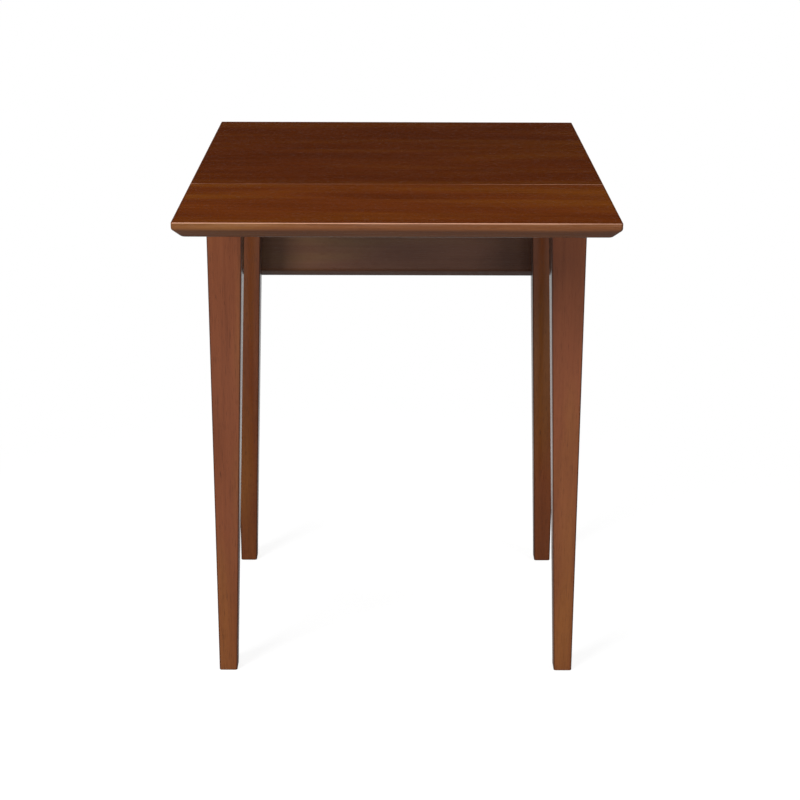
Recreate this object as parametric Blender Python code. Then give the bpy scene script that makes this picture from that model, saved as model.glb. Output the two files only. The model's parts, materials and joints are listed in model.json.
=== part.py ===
"""Small double drop-leaf table, with its front leaf raised and its back leaf hanging.

Metres, +Z up, front at -Y. Each piece is modelled once in its own frame and placed by location,
rotation and parent. A leaf, its hinge plates and its stay tracks have their origins on the hinge axis.
"""

import math

import bmesh
import bpy
from mathutils import Matrix, Vector

# Overall sizes
TABLE_W = 0.559  # along X
TABLE_H = 0.740
MAIN_D = 0.476  # fixed top, from hinge joint to hinge joint
LEAF_D = 0.232
TOP_T = 0.0208
GAP = 0.0003  # clearance between pieces that touch
JOINT_GAP = 0.0010  # open seam between the fixed top and a leaf

# Outer edges of the tops: an upright face that rolls over a round nose into a flat bevel under it
EDGE_FACE = 0.0065
NOSE_R = 0.0060
NOSE_STEPS = 6
BEVEL_SLOPE = math.radians(45)  # of the bevel, from level
EASE = 0.0012

# Legs: outer faces plumb, the two inner faces tapered
LEG_TOP = 0.0487
LEG_FOOT = 0.0265
LEG_INSET_X = 0.0175
LEG_INSET_Y = 0.0203
LEG_EASE = 0.0022
FOOT_EASE = 0.0015
TAPER_DROP = 0.010  # the taper starts this far below the apron

# Apron frame and its fasteners
APRON_H = 0.050
APRON_T = 0.019
APRON_SETBACK = 0.003
BLOCK_T = 0.020
BLOCK_MARGIN = 0.003
BOLT_R = 0.0039
BOLT_IN_LEG = 0.035
BOLT_TAIL = 0.006
NUT_R = 0.0075
NUT_T = 0.0065
NUT_FLANGE_R = 0.0095
NUT_FLANGE_T = 0.0016
CLIP_LEG = 0.022
CLIP_W = 0.018
CLIP_T = 0.0022
CLIP_GAP = 0.014  # between a clip and the corner block beside it

# Hinges
HINGE_INSET = 0.040  # middle of a hinge from the inner face of a leg
HINGE_L = 0.050
HINGE_MARGIN = 0.0025  # plate edge to rail
KNUCKLE_R = 0.0035
PLATE_T = 0.0016
PLATE_SINK = 0.0002  # plate face below the top of the knuckle
PIN_R = 0.0016
PIN_PROUD = 0.0006

# Leaf stays
STAY_SPACING = 0.065  # middle of a stay from the middle of a hinge
PIVOT_IN = 0.010  # arm pivot inside the hinge axis
PIVOT_RISE = 0.0105  # arm pivot above the lower edge of the rail
ARM_L = 0.108
ARM_T = 0.003
ARM_R = 0.0070
TIP_R = 0.0050
RIVET_R = 0.0025
RIVET_HEAD_R = 0.0050
RIVET_HEAD_T = 0.0018
BRACKET_T = 0.0025
BRACKET_W = 0.026
BRACKET_FOOT = 0.0095  # bracket plate below the pivot
BRACKET_RISE = 0.024  # and above it
SHOE_R = 0.0055
SHOE_STUB_R = 0.0022
SHOE_FACE = 0.002
TRACK_T = 0.0015
TRACK_PLAY = 0.0007
TRACK_END = 0.008  # cheek beyond the centre of the shoe at each end of its travel
TAB_NEAR = 0.014
TAB_FAR = 0.010
CHEEK_NEAR = 0.0160  # cheek edge below the hinge axis
CHEEK_FAR = 0.0078

# Derived positions
UNDER_Z = TABLE_H - TOP_T
FRAME_TOP = UNDER_Z - GAP
APRON_LOW = FRAME_TOP - APRON_H
BOLT_Z = FRAME_TOP - APRON_H / 2
AXIS_DROP = GAP + KNUCKLE_R  # hinge axis below the underside of the tops
AXIS_Z = UNDER_Z - AXIS_DROP
AXIS_OUT = MAIN_D / 2 + JOINT_GAP / 2  # hinge axis from the middle of the fixed top
REACH_FRONT = MAIN_D / 2 + JOINT_GAP + LEAF_D
REACH_BACK = AXIS_OUT + AXIS_DROP + TOP_T
MAIN_Y = (REACH_FRONT - REACH_BACK) / 2  # centres the whole table on the origin
LEG_X = TABLE_W / 2 - LEG_INSET_X
LEG_Y = MAIN_D / 2 - LEG_INSET_Y
BLOCK_WALL = APRON_SETBACK + APRON_T + GAP  # end of a corner block from the outer face of a leg
BLOCK_OUTER = 2 * LEG_TOP + 2 * GAP  # x + y on a block's face against its leg, from the outer corner
BLOCK_INNER = BLOCK_OUTER + BLOCK_T * math.sqrt(2)  # and on its inner face
CLIP_Y = LEG_Y - (BLOCK_INNER - BLOCK_WALL) - CLIP_GAP - CLIP_W / 2
HINGE_X = LEG_X - LEG_TOP - HINGE_INSET
STAY_X = HINGE_X - STAY_SPACING
RAIL_IN = AXIS_OUT - LEG_Y + APRON_SETBACK  # outer face of a rail, inside the hinge axis
HINGE_W = RAIL_IN - HINGE_MARGIN
PIVOT_DOWN = AXIS_Z - APRON_LOW - PIVOT_RISE
TRACK_FACE = AXIS_DROP - GAP - TRACK_T  # sliding face of the track, above the hinge axis
SHOE_DROP = GAP + SHOE_R - TRACK_FACE  # shoe centre below the hinge axis when the leaf is up

# The arm's angle below level, with the leaf up and with the leaf hanging
ARM_RAISED = -math.asin((PIVOT_DOWN - SHOE_DROP) / ARM_L)
ARM_HANGING = math.pi / 2 + math.asin((SHOE_DROP - PIVOT_IN) / ARM_L)
TRACK_NEAR = ARM_L * math.cos(ARM_RAISED) - PIVOT_IN - TRACK_END
TRACK_FAR = ARM_L * math.sin(ARM_HANGING) + PIVOT_DOWN + TRACK_END

# Each end of the table: direction along Y, turn about Z, leaf angle and arm angle at rest
ENDS = {
    "front": (-1, 0.0, 0.0, ARM_RAISED),
    "back": (1, math.pi, math.pi / 2, ARM_HANGING),
}
# Each corner: direction along X and Y, and the leg's turn about Z
CORNERS = {
    "front_left": (-1, -1, 0.0),
    "front_right": (1, -1, math.pi / 2),
    "back_right": (1, 1, math.pi),
    "back_left": (-1, 1, -math.pi / 2),
}
SIDES = {"left": -1, "right": 1}
SIDES_ROUND = 20
SMOOTH_ANGLE = math.radians(32)


def clear_scene():
    for obj in list(bpy.data.objects):
        bpy.data.objects.remove(obj, do_unlink=True)


def material(name, colour, roughness, metallic=0.0):
    mat = bpy.data.materials.new(name)
    mat.use_nodes = True
    shader = mat.node_tree.nodes["Principled BSDF"]
    shader.inputs["Base Color"].default_value = (*colour, 1.0)
    shader.inputs["Roughness"].default_value = roughness
    shader.inputs["Metallic"].default_value = metallic
    mat.diffuse_color = (*colour, 1.0)
    return mat


def mesh_from(bm):
    bmesh.ops.recalc_face_normals(bm, faces=bm.faces)
    mesh = bpy.data.meshes.new("shape")
    bm.to_mesh(mesh)
    bm.free()
    return mesh


def box(low, high):
    low, high = Vector(low), Vector(high)
    bm = bmesh.new()
    bmesh.ops.create_cube(bm, size=1, matrix=Matrix.LocRotScale((low + high) / 2, None, high - low))
    return mesh_from(bm)


def rod(start, direction, length, radius, sides=SIDES_ROUND):
    """A cylinder, or a hexagonal bar with six sides."""
    direction = Vector(direction).normalized()
    turn = direction.to_track_quat("Z", "Y")
    place = Matrix.LocRotScale(Vector(start) + direction * length / 2, turn, None)
    bm = bmesh.new()
    bmesh.ops.create_cone(
        bm, cap_ends=True, segments=sides, radius1=radius, radius2=radius, depth=length, matrix=place
    )
    return mesh_from(bm)


def turned(profile, sides=SIDES_ROUND):
    """A body turned about X from (distance along, radius) pairs."""
    ends = [(profile[0][0], 0.0)], [(profile[-1][0], 0.0)]
    bm = bmesh.new()
    verts = [bm.verts.new((d, r, 0)) for d, r in ends[0] + profile + ends[1]]
    edges = [bm.edges.new(pair) for pair in zip(verts, verts[1:])]
    bmesh.ops.spin(
        bm, geom=verts + edges, cent=(0, 0, 0), axis=(1, 0, 0), angle=2 * math.pi, steps=sides, use_merge=True
    )
    bmesh.ops.remove_doubles(bm, verts=bm.verts, dist=1e-6)
    return mesh_from(bm)


def prism(outline, x0, x1):
    """A flat outline of (y, z) pairs extruded along X."""
    bm = bmesh.new()
    face = bm.faces.new([bm.verts.new((x0, y, z)) for y, z in outline])
    pushed = bmesh.ops.extrude_face_region(bm, geom=[face])["geom"]
    moved = [item for item in pushed if isinstance(item, bmesh.types.BMVert)]
    bmesh.ops.translate(bm, vec=(x1 - x0, 0, 0), verts=moved)
    return mesh_from(bm)


def loft(rings):
    """A closed body through rings with equal numbers of points."""
    bm = bmesh.new()
    rings = [[bm.verts.new(point) for point in ring] for ring in rings]
    loops = [[bm.edges.new(pair) for pair in zip(ring, ring[1:] + ring[:1])] for ring in rings]
    for lower, upper in zip(loops, loops[1:]):
        bmesh.ops.bridge_loops(bm, edges=lower + upper)
    bm.faces.new(rings[0])
    bm.faces.new(rings[-1])
    return mesh_from(bm)


def combined(mesh, *steps):
    """The mesh after Boolean steps, each an operation and the mesh that it uses."""
    link = bpy.context.scene.collection.objects.link
    body = bpy.data.objects.new("body", mesh)
    link(body)
    tools = []
    for operation, tool_mesh in steps:
        tool = bpy.data.objects.new("tool", tool_mesh)
        link(tool)
        tools.append(tool)
        step = body.modifiers.new(operation, "BOOLEAN")
        step.operation, step.solver, step.object = operation, "EXACT", tool
    graph = bpy.context.evaluated_depsgraph_get()
    result = bpy.data.meshes.new_from_object(body.evaluated_get(graph))
    for obj in [body, *tools]:
        bpy.data.objects.remove(obj, do_unlink=True)
    return result


def put(name, mesh, mat, location=(0, 0, 0), rotation=(0, 0, 0), parent=None):
    """A named object that may share its mesh with others."""
    obj = bpy.data.objects.new(name, mesh)
    if not mesh.materials:
        mesh.materials.append(mat)
        mesh.shade_smooth()
        mesh.set_sharp_from_angle(angle=SMOOTH_ANGLE)
    obj.location, obj.rotation_euler, obj.parent = location, rotation, parent
    bpy.context.scene.collection.objects.link(obj)
    return obj


def edge_levels(bevelled):
    """(height, inset) pairs up the edge of a top. An edge at a hinge joint is only eased."""
    top = [(TOP_T - EASE, 0.0), (TOP_T - 0.3 * EASE, 0.3 * EASE), (TOP_T, EASE)]
    if not bevelled:
        return [(0.0, EASE), (EASE, 0.0)] + top
    roll = math.pi / 2 - BEVEL_SLOPE  # the nose turns from upright to the bevel
    angles = [roll * (1 - k / NOSE_STEPS) for k in range(NOSE_STEPS + 1)]
    face_low = TOP_T - EDGE_FACE
    nose = [(face_low - NOSE_R * math.sin(a), NOSE_R * (1 - math.cos(a))) for a in angles]
    bevel_high, bevel_in = nose[0]
    return [(0.0, bevel_in + bevel_high / math.tan(BEVEL_SLOPE))] + nose + top


def inset_at(levels, height):
    for (h0, d0), (h1, d1) in zip(levels, levels[1:]):
        if height <= h1:
            return d0 + (d1 - d0) * (height - h0) / (h1 - h0)
    return levels[-1][1]


def board(near, far, far_bevelled, base):
    """A top board from y = far to y = near, bevelled under both sides and, where asked, under its far end."""
    side, near_end, far_end = edge_levels(True), edge_levels(False), edge_levels(far_bevelled)
    rings = []
    for h in sorted({height for height, _ in side + near_end + far_end}):
        x = TABLE_W / 2 - inset_at(side, h)
        y0, y1 = far + inset_at(far_end, h), near - inset_at(near_end, h)
        rings.append([(-x, y0, base + h), (x, y0, base + h), (x, y1, base + h), (-x, y1, base + h)])
    return loft(rings)


def eased_square(low, high, ease):
    """Points of a square from low to high on both axes, with three points round each corner."""
    a, b = low + ease, high - ease
    ring = []
    for x, y, start in ((b, b, 0), (a, b, 90), (a, a, 180), (b, a, 270)):
        for degrees in (start, start + 45, start + 90):
            t = math.radians(degrees)
            ring.append((x + ease * math.cos(t), y + ease * math.sin(t)))
    return ring


def leg_mesh():
    """A leg with its outer corner at x = y = 0, and the bolt hole in its inner corner."""
    levels = [
        (0.0, FOOT_EASE, LEG_FOOT - FOOT_EASE),
        (FOOT_EASE, 0.0, LEG_FOOT),
        (APRON_LOW - TAPER_DROP, 0.0, LEG_TOP),
        (FRAME_TOP, 0.0, LEG_TOP),
    ]
    shaft = loft([[(x, y, z) for x, y in eased_square(a, b, LEG_EASE)] for z, a, b in levels])
    inward = Vector((1, 1, 0)).normalized()
    depth = BOLT_IN_LEG + GAP
    bottom = Vector((LEG_TOP, LEG_TOP, BOLT_Z)) - inward * depth
    return combined(shaft, ("DIFFERENCE", rod(bottom, inward, depth + BLOCK_T, BOLT_R + GAP)))


def build_tops(wood):
    """The fixed top and the two leaves. Returns the leaves and the empties on the hinge axes."""
    put("main_top", board(MAIN_D / 2, -MAIN_D / 2, False, 0.0), wood, (0, MAIN_Y, UNDER_Z))
    near = -JOINT_GAP / 2
    leaf_mesh = board(near, near - LEAF_D, True, AXIS_DROP)
    axes, leaves = {}, {}
    for end, (toward, turn, angle, _) in ENDS.items():
        axes[end] = put_empty(end + "_axis", (0, MAIN_Y + toward * AXIS_OUT, AXIS_Z), turn)
        leaves[end] = put(end + "_leaf", leaf_mesh, wood, rotation=(angle, 0, 0), parent=axes[end])
    return axes, leaves


def put_empty(name, location, turn):
    empty = bpy.data.objects.new(name, None)
    empty.location, empty.rotation_euler = location, (0, 0, turn)
    bpy.context.scene.collection.objects.link(empty)
    return empty


def build_aprons(wood, steel):
    half_x, half_y = LEG_X - LEG_TOP - GAP, LEG_Y - LEG_TOP - GAP
    rail = box((-half_x, 0, APRON_LOW), (half_x, APRON_T, FRAME_TOP))
    apron = box((0, -half_y, APRON_LOW), (APRON_T, half_y, FRAME_TOP))
    corner = [(0, 0), (CLIP_LEG, 0), (CLIP_LEG, -CLIP_T), (CLIP_T, -CLIP_T), (CLIP_T, -CLIP_LEG), (0, -CLIP_LEG)]
    clip = prism(corner, -CLIP_W / 2, CLIP_W / 2)
    for end, (toward, turn, _, _) in ENDS.items():
        put("rail_" + end, rail, wood, (0, MAIN_Y + toward * (LEG_Y - APRON_SETBACK), 0), (0, 0, turn))
    for side, sign in SIDES.items():
        turn = 0.0 if sign < 0 else math.pi
        outer = sign * (LEG_X - APRON_SETBACK)
        put("apron_" + side, apron, wood, (outer, MAIN_Y, 0), (0, 0, turn))
        for end, (toward, *_) in ENDS.items():
            seat = outer - sign * (APRON_T + GAP), MAIN_Y + toward * CLIP_Y, FRAME_TOP
            put(f"top_clip_{end}_{side}", clip, steel, seat, (0, 0, turn - math.pi / 2))


def build_legs(leg_wood, frame_wood, steel):
    """Legs, and the corner blocks that their bolts draw them against."""
    wall, outer, inner = BLOCK_WALL, BLOCK_OUTER, BLOCK_INNER
    plan = [(wall, outer - wall), (wall, inner - wall), (inner - wall, wall), (outer - wall, wall)]
    heights = APRON_LOW + BLOCK_MARGIN, FRAME_TOP - BLOCK_MARGIN
    face = Vector((inner / 2, inner / 2, BOLT_Z))
    bore = rod(face + Vector((1, 1, 0)), (-1, -1, 0), 2, BOLT_R + GAP)
    block = combined(loft([[(x, y, z) for x, y in plan] for z in heights]), ("DIFFERENCE", bore))

    tail = GAP + NUT_FLANGE_T + NUT_T + BOLT_TAIL
    depth = (face - Vector((LEG_TOP, LEG_TOP, BOLT_Z))).length + BOLT_IN_LEG
    point = BOLT_R / 4
    bolt = turned([(-depth, BOLT_R), (tail - point, BOLT_R), (tail, BOLT_R - point)])
    flange = rod((GAP, 0, 0), (1, 0, 0), NUT_FLANGE_T, NUT_FLANGE_R)
    hexagon = rod((GAP + NUT_FLANGE_T / 2, 0, 0), (1, 0, 0), NUT_FLANGE_T / 2 + NUT_T, NUT_R, 6)
    thread = rod((-tail, 0, 0), (1, 0, 0), 2 * tail, BOLT_R + GAP)
    nut = combined(flange, ("UNION", hexagon), ("DIFFERENCE", thread))

    shaft = leg_mesh()
    for name, (x, y, turn) in CORNERS.items():
        leg = put("leg_" + name, shaft, leg_wood, (x * LEG_X, MAIN_Y + y * LEG_Y, 0), (0, 0, turn))
        put("corner_block_" + name, block, frame_wood, parent=leg)
        put("leg_bolt_" + name, bolt, steel, face, (0, 0, math.pi / 4), leg)
        put("leg_nut_" + name, nut, steel, face, (0, 0, math.pi / 4), leg)


def hinge_plate(spans, toward):
    """A plate on one side of the hinge axis, with a knuckle over each span along X."""
    high = KNUCKLE_R - PLATE_SINK
    low = high - PLATE_T
    near = KNUCKLE_R + 2 * GAP  # clear of the other plate's knuckles
    overlap = (HINGE_W - near) / 4

    def flat(x0, x1, y0, y1):
        return box((x0, min(y0, y1), low), (x1, max(y0, y1), high))

    steps = []
    for x0, x1 in spans:
        steps.append(("UNION", flat(x0, x1, 0, toward * (near + overlap))))
        steps.append(("UNION", rod((x0, 0, 0), (1, 0, 0), x1 - x0, KNUCKLE_R)))
    steps.append(("DIFFERENCE", rod((-HINGE_L, 0, 0), (1, 0, 0), 2 * HINGE_L, PIN_R + GAP)))
    return combined(flat(-HINGE_L / 2, HINGE_L / 2, toward * near, toward * HINGE_W), *steps)


def build_hinges(axes, leaves, steel):
    half, quarter = HINGE_L / 2, HINGE_L / 4
    fixed = hinge_plate([(-half, -quarter - GAP / 2), (quarter + GAP / 2, half)], 1)
    moving = hinge_plate([(-quarter + GAP / 2, quarter - GAP / 2)], -1)
    pin = turned([(-half - PIN_PROUD, PIN_R), (half + PIN_PROUD, PIN_R)], 16)
    for end, (toward, *_) in ENDS.items():
        for side, sign in SIDES.items():
            name = f"{end}_{side}"
            seat = (-toward * sign * HINGE_X, 0, 0)
            put("hinge_fixed_" + name, fixed, steel, seat, parent=axes[end])
            put("hinge_leaf_" + name, moving, steel, seat, parent=leaves[end])
            put("hinge_pin_" + name, pin, steel, seat, parent=axes[end])


def half_round(y, radius, first, steps=9):
    """Points over half a turn about (y, 0), starting at an angle."""
    angles = [first + math.pi * k / steps for k in range(steps + 1)]
    return [(y + radius * math.cos(a), radius * math.sin(a)) for a in angles]


def stay_bracket():
    """A plate for the rail with an ear for the arm's pivot. The pivot is at the origin, the arm at x < 0."""
    x0 = ARM_T / 2 + GAP
    wall = RAIL_IN - PIVOT_IN - GAP
    plate = box((x0, wall - BRACKET_T, -BRACKET_FOOT), (x0 + BRACKET_W, wall, BRACKET_RISE))
    square = wall - BRACKET_T / 2
    outline = half_round(0.0, ARM_R, math.pi / 2) + [(square, -ARM_R), (square, ARM_R)]
    ear = prism(outline, x0, x0 + BRACKET_T)
    bore = rod((-BRACKET_W, 0, 0), (1, 0, 0), 2 * BRACKET_W, RIVET_R + GAP)
    return combined(plate, ("UNION", ear), ("DIFFERENCE", bore))


def stay_arm():
    """A bar along -Y from its pivot at the origin, with a round end at each hole."""
    outline = half_round(0.0, ARM_R, -math.pi / 2) + half_round(-ARM_L, TIP_R, math.pi / 2)
    bar = prism(outline, -ARM_T / 2, ARM_T / 2)
    pivot_hole = rod((-ARM_L, 0, 0), (1, 0, 0), 2 * ARM_L, RIVET_R + GAP)
    tip_hole = rod((-ARM_L, -ARM_L, 0), (1, 0, 0), 2 * ARM_L, SHOE_STUB_R + GAP)
    return combined(bar, ("DIFFERENCE", pivot_hole), ("DIFFERENCE", tip_hole))


def spool(left, right, neck, face_r, face_t, bevel=0.0):
    """A turned piece whose neck runs from left to right between two wider faces."""
    return turned(
        [
            (left - face_t, face_r - bevel),
            (left - face_t + bevel, face_r),
            (left, face_r),
            (left, neck),
            (right, neck),
            (right, face_r),
            (right + face_t - bevel, face_r),
            (right + face_t, face_r - bevel),
        ]
    )


def stay_track():
    """A channel under the leaf that the shoe slides in, with a screw tab at each end."""
    inner = ARM_T / 2 + GAP + SHOE_FACE + TRACK_PLAY
    outer = inner + TRACK_T
    top = TRACK_FACE + TRACK_T
    web = box((-outer, -TRACK_FAR - TAB_FAR, TRACK_FACE), (outer, TAB_NEAR - TRACK_NEAR, top))
    root = top - TRACK_T / 2
    cheek = [(-TRACK_NEAR, root), (-TRACK_FAR, root), (-TRACK_FAR, -CHEEK_FAR), (-TRACK_NEAR, -CHEEK_NEAR)]
    return combined(web, ("UNION", prism(cheek, -outer, -inner)), ("UNION", prism(cheek, inner, outer)))


def build_stays(axes, leaves, steel, dark, nylon):
    """Two stays at each end: a bracket on the rail, an arm, and the track for its shoe on the leaf."""
    bracket, arm, track = stay_bracket(), stay_arm(), stay_track()
    grip = -ARM_T / 2 - GAP, ARM_T / 2 + 2 * GAP + BRACKET_T
    rivet = spool(*grip, RIVET_R, RIVET_HEAD_R, RIVET_HEAD_T, RIVET_HEAD_T / 2)
    shoe = spool(-ARM_T / 2 - GAP, ARM_T / 2 + GAP, SHOE_STUB_R, SHOE_R, SHOE_FACE, SHOE_FACE / 4)
    for end, (toward, _, _, arm_angle) in ENDS.items():
        for side, sign in SIDES.items():
            name = f"{end}_{side}"
            x = -toward * sign * STAY_X
            pivot = (x, PIVOT_IN, -PIVOT_DOWN)
            put("stay_bracket_" + name, bracket, steel, pivot, parent=axes[end])
            put("stay_pivot_" + name, rivet, steel, pivot, parent=axes[end])
            swing = put("stay_arm_" + name, arm, dark, pivot, (arm_angle, 0, 0), axes[end])
            put("stay_shoe_" + name, shoe, nylon, (0, -ARM_L, 0), parent=swing)
            put("stay_track_" + name, track, steel, (x, 0, 0), parent=leaves[end])


def main():
    clear_scene()
    top_wood = material("walnut_stain_top", (0.085, 0.022, 0.008), 0.30)
    leg_wood = material("walnut_stain_legs", (0.130, 0.045, 0.020), 0.40)
    frame_wood = material("walnut_stain_frame", (0.110, 0.040, 0.018), 0.50)
    steel = material("zinc_steel", (0.55, 0.55, 0.53), 0.35, 1.0)
    dark = material("dark_steel", (0.20, 0.20, 0.20), 0.40, 1.0)
    nylon = material("nylon", (0.75, 0.74, 0.70), 0.50)
    axes, leaves = build_tops(top_wood)
    build_aprons(frame_wood, steel)
    build_legs(leg_wood, frame_wood, steel)
    build_hinges(axes, leaves, steel)
    build_stays(axes, leaves, steel, dark, nylon)


main()
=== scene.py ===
# %% [markdown]
# # A small drop-leaf table, end on
#
# This lesson dresses a finished CAD model of a dining table with two drop leaves. The front leaf is
# up, the back leaf hangs, and every piece keeps the place that the CAD model gives it.
# The frame is loaded first. The dressed table may not outgrow it.

import json
import math

import bpy
import numpy as np
from mathutils import Matrix, Vector


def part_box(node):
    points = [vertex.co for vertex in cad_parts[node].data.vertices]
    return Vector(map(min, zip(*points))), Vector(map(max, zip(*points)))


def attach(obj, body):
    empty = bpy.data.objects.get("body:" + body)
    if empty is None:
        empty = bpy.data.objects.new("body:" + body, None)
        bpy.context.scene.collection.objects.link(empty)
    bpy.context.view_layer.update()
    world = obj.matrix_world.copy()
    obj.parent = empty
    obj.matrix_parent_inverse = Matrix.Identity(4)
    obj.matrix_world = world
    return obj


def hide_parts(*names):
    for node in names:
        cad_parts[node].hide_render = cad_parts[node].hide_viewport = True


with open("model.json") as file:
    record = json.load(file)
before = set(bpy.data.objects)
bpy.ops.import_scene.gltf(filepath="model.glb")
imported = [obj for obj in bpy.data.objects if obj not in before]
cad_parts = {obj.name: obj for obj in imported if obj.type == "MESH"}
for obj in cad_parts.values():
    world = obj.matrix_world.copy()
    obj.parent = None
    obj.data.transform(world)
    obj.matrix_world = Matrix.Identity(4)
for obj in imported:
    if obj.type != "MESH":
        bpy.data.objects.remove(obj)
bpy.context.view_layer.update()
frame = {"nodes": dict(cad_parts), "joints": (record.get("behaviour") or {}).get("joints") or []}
NODES = frame["nodes"]

# %% [markdown]
# ## The camera
#
# The photograph looks at one end of the table from a little above it, through a long lens, so the
# legs hardly converge. A camera could be aimed by eye. Here its place, tilt and focal length were
# solved from the corners of the top and the feet, which puts nearly every edge within a pixel or two.

# %% Camera
IMAGE_PX = 800
SENSOR_MM = 36.0
FOCAL_PX = 1844.9
CAMERA_AT = (-0.0034, -2.5907, 1.2583)
CAMERA_PITCH, CAMERA_YAW, CAMERA_ROLL = 18.59, -0.20, 0.19  # degrees down, to the left, and tilted
FARTHEST = 200.0  # metres that the camera can see

camera = bpy.data.objects.new("camera", bpy.data.cameras.new("camera"))
bpy.context.scene.collection.objects.link(camera)
camera.data.sensor_width = SENSOR_MM
camera.data.lens = FOCAL_PX / IMAGE_PX * SENSOR_MM
camera.data.clip_end = FARTHEST
camera.matrix_world = (
    Matrix.Translation(CAMERA_AT)
    @ Matrix.Rotation(math.radians(CAMERA_YAW), 4, "Z")
    @ Matrix.Rotation(math.radians(90 - CAMERA_PITCH), 4, "X")
    @ Matrix.Rotation(math.radians(CAMERA_ROLL), 4, "Z")
)
bpy.context.scene.camera = camera
bpy.context.scene.view_settings.view_transform = "Standard"
print("lens", round(camera.data.lens, 2), "mm")

# %% [markdown]
# ## The floor
#
# The table stands on a plain floor without a visible end. A big plane would do. A flat face with a
# round rim ends at the same distance whichever way a camera looks.

# %% Floor
FLOOR_R, RIM_POINTS = 60.0, 96

turn = np.linspace(0, 2 * np.pi, RIM_POINTS, endpoint=False)
rim = np.stack([FLOOR_R * np.cos(turn), FLOOR_R * np.sin(turn), np.zeros_like(turn)], 1)
floor_mesh = bpy.data.meshes.new("floor")
floor_mesh.from_pydata(rim, [], [list(range(len(rim)))])
floor = bpy.data.objects.new("floor", floor_mesh)
bpy.context.scene.collection.objects.link(floor)
print("floor radius", FLOOR_R, "m")

# %% [markdown]
# ## Nodes in short lines
#
# A material is a small tree of nodes. Making each node takes several lines of Blender code, so one
# helper makes a node, sets its options, and fills each input with a value or with another node's
# output. The others are short names for the nodes that the finishes below use most.


# %% Node helpers
def add(tree, kind, inputs=None, **options):
    """Makes one shader node. An input takes a plain value, or a socket that is linked to it."""
    node = tree.nodes.new("ShaderNode" + kind)
    for name, value in options.items():
        setattr(node, name, value)
    for name, value in (inputs or {}).items():
        if isinstance(value, bpy.types.NodeSocket):
            tree.links.new(value, node.inputs[name])
        else:
            node.inputs[name].default_value = value
    return node


def math_of(tree, operation, *values):
    """The output of a Math node: the named operation on one, two or three values."""
    return add(tree, "Math", dict(enumerate(values)), operation=operation).outputs[0]


def length_of(tree, vector):
    """How long a vector is."""
    return add(tree, "VectorMath", {0: vector}, operation="LENGTH").outputs["Value"]


def share_of(tree, value, start, end):
    """How far a value has gone from start to end: zero before the start, and one after the end."""
    return add(tree, "MapRange", {"Value": value, "From Min": start, "From Max": end}).outputs["Result"]


print("node helpers", [f.__name__ for f in (add, math_of, length_of, share_of)])


# %% Ramps and trees
def ramp(tree, fac, *stops):
    """A colour ramp through (place, colour) stops."""
    node = add(tree, "ValToRGB", {"Fac": fac})
    elements = node.color_ramp.elements
    while len(elements) < len(stops):
        elements.new(0.5)
    for element, (place, colour) in zip(elements, stops):
        element.position, element.color = place, (*colour, 1.0)
    return node.outputs["Color"]


def grey(value):
    """A colour with the same red, green and blue."""
    return (value, value, value)


def grey_ramp(tree, fac, stops):
    """A ramp through (place, brightness) stops."""
    return ramp(tree, fac, *((place, grey(level)) for place, level in stops))


def new_tree(name):
    """An empty material, its tree and its output node."""
    material = bpy.data.materials.new(name)
    material.use_nodes = True
    material.node_tree.nodes.clear()
    return material, material.node_tree, add(material.node_tree, "OutputMaterial")


print("colour helpers", [f.__name__ for f in (ramp, grey, grey_ramp, new_tree)])

# %% [markdown]
# ## White paint
#
# A white floor that is only lit would need so much light that the wood would wash out. So rays from
# the camera, and rays that gloss or glass sends, see a floor that is white by itself, and every other
# ray meets ordinary paint, which bounces light up as a real floor does. Close to the feet part of that
# white is lit paint, so the floor keeps a soft shadow. What gloss sees is a painted glow that changes
# along the floor: a painted pool of light before the table, a painted shadow under it, and a pale floor
# behind it, which shines in the inner faces of the legs. Seen from below the floor is clear, so the
# underside of the table can be looked at.

# %% Floor paint
FLOOR_PAINT = 0.18  # brightness of the ordinary paint
SHADOW_NEAR, SHADOW_FAR = 0.45, 1.15  # the lit part fades out between these distances
SHADOW_WHITE, SHADOW_PAINT = 0.86, 0.21  # glow and lit paint near the feet
# Painted light and shadow for gloss on the floor: the place along Y in metres, and how bright it is there.
FLOOR_GLOSS_LIGHT_AND_SHADOW = [
    (-3.098, 0.35), (-1.502, 0.65), (-0.782, 0.45), (-0.302, 0.08),
    (0.340, 0.07), (0.820, 0.55), (2.500, 0.55),
]

floor_paint, tree, out = new_tree("white_floor")
path = add(tree, "LightPath").outputs
seen = math_of(tree, "MAXIMUM", path["Is Camera Ray"], path["Is Glossy Ray"])
seen = math_of(tree, "MAXIMUM", seen, path["Is Transmission Ray"])
place = add(tree, "TexCoord").outputs["Object"]
distance = length_of(tree, place)


def fade(near, away):
    """A value that goes smoothly from near to away as the lit part of the floor fades out."""
    ends = {"From Min": SHADOW_NEAR, "From Max": SHADOW_FAR, "To Min": near, "To Max": away}
    node = add(tree, "MapRange", {"Value": distance, **ends}, interpolation_type="SMOOTHSTEP")
    return node.outputs["Result"]


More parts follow.
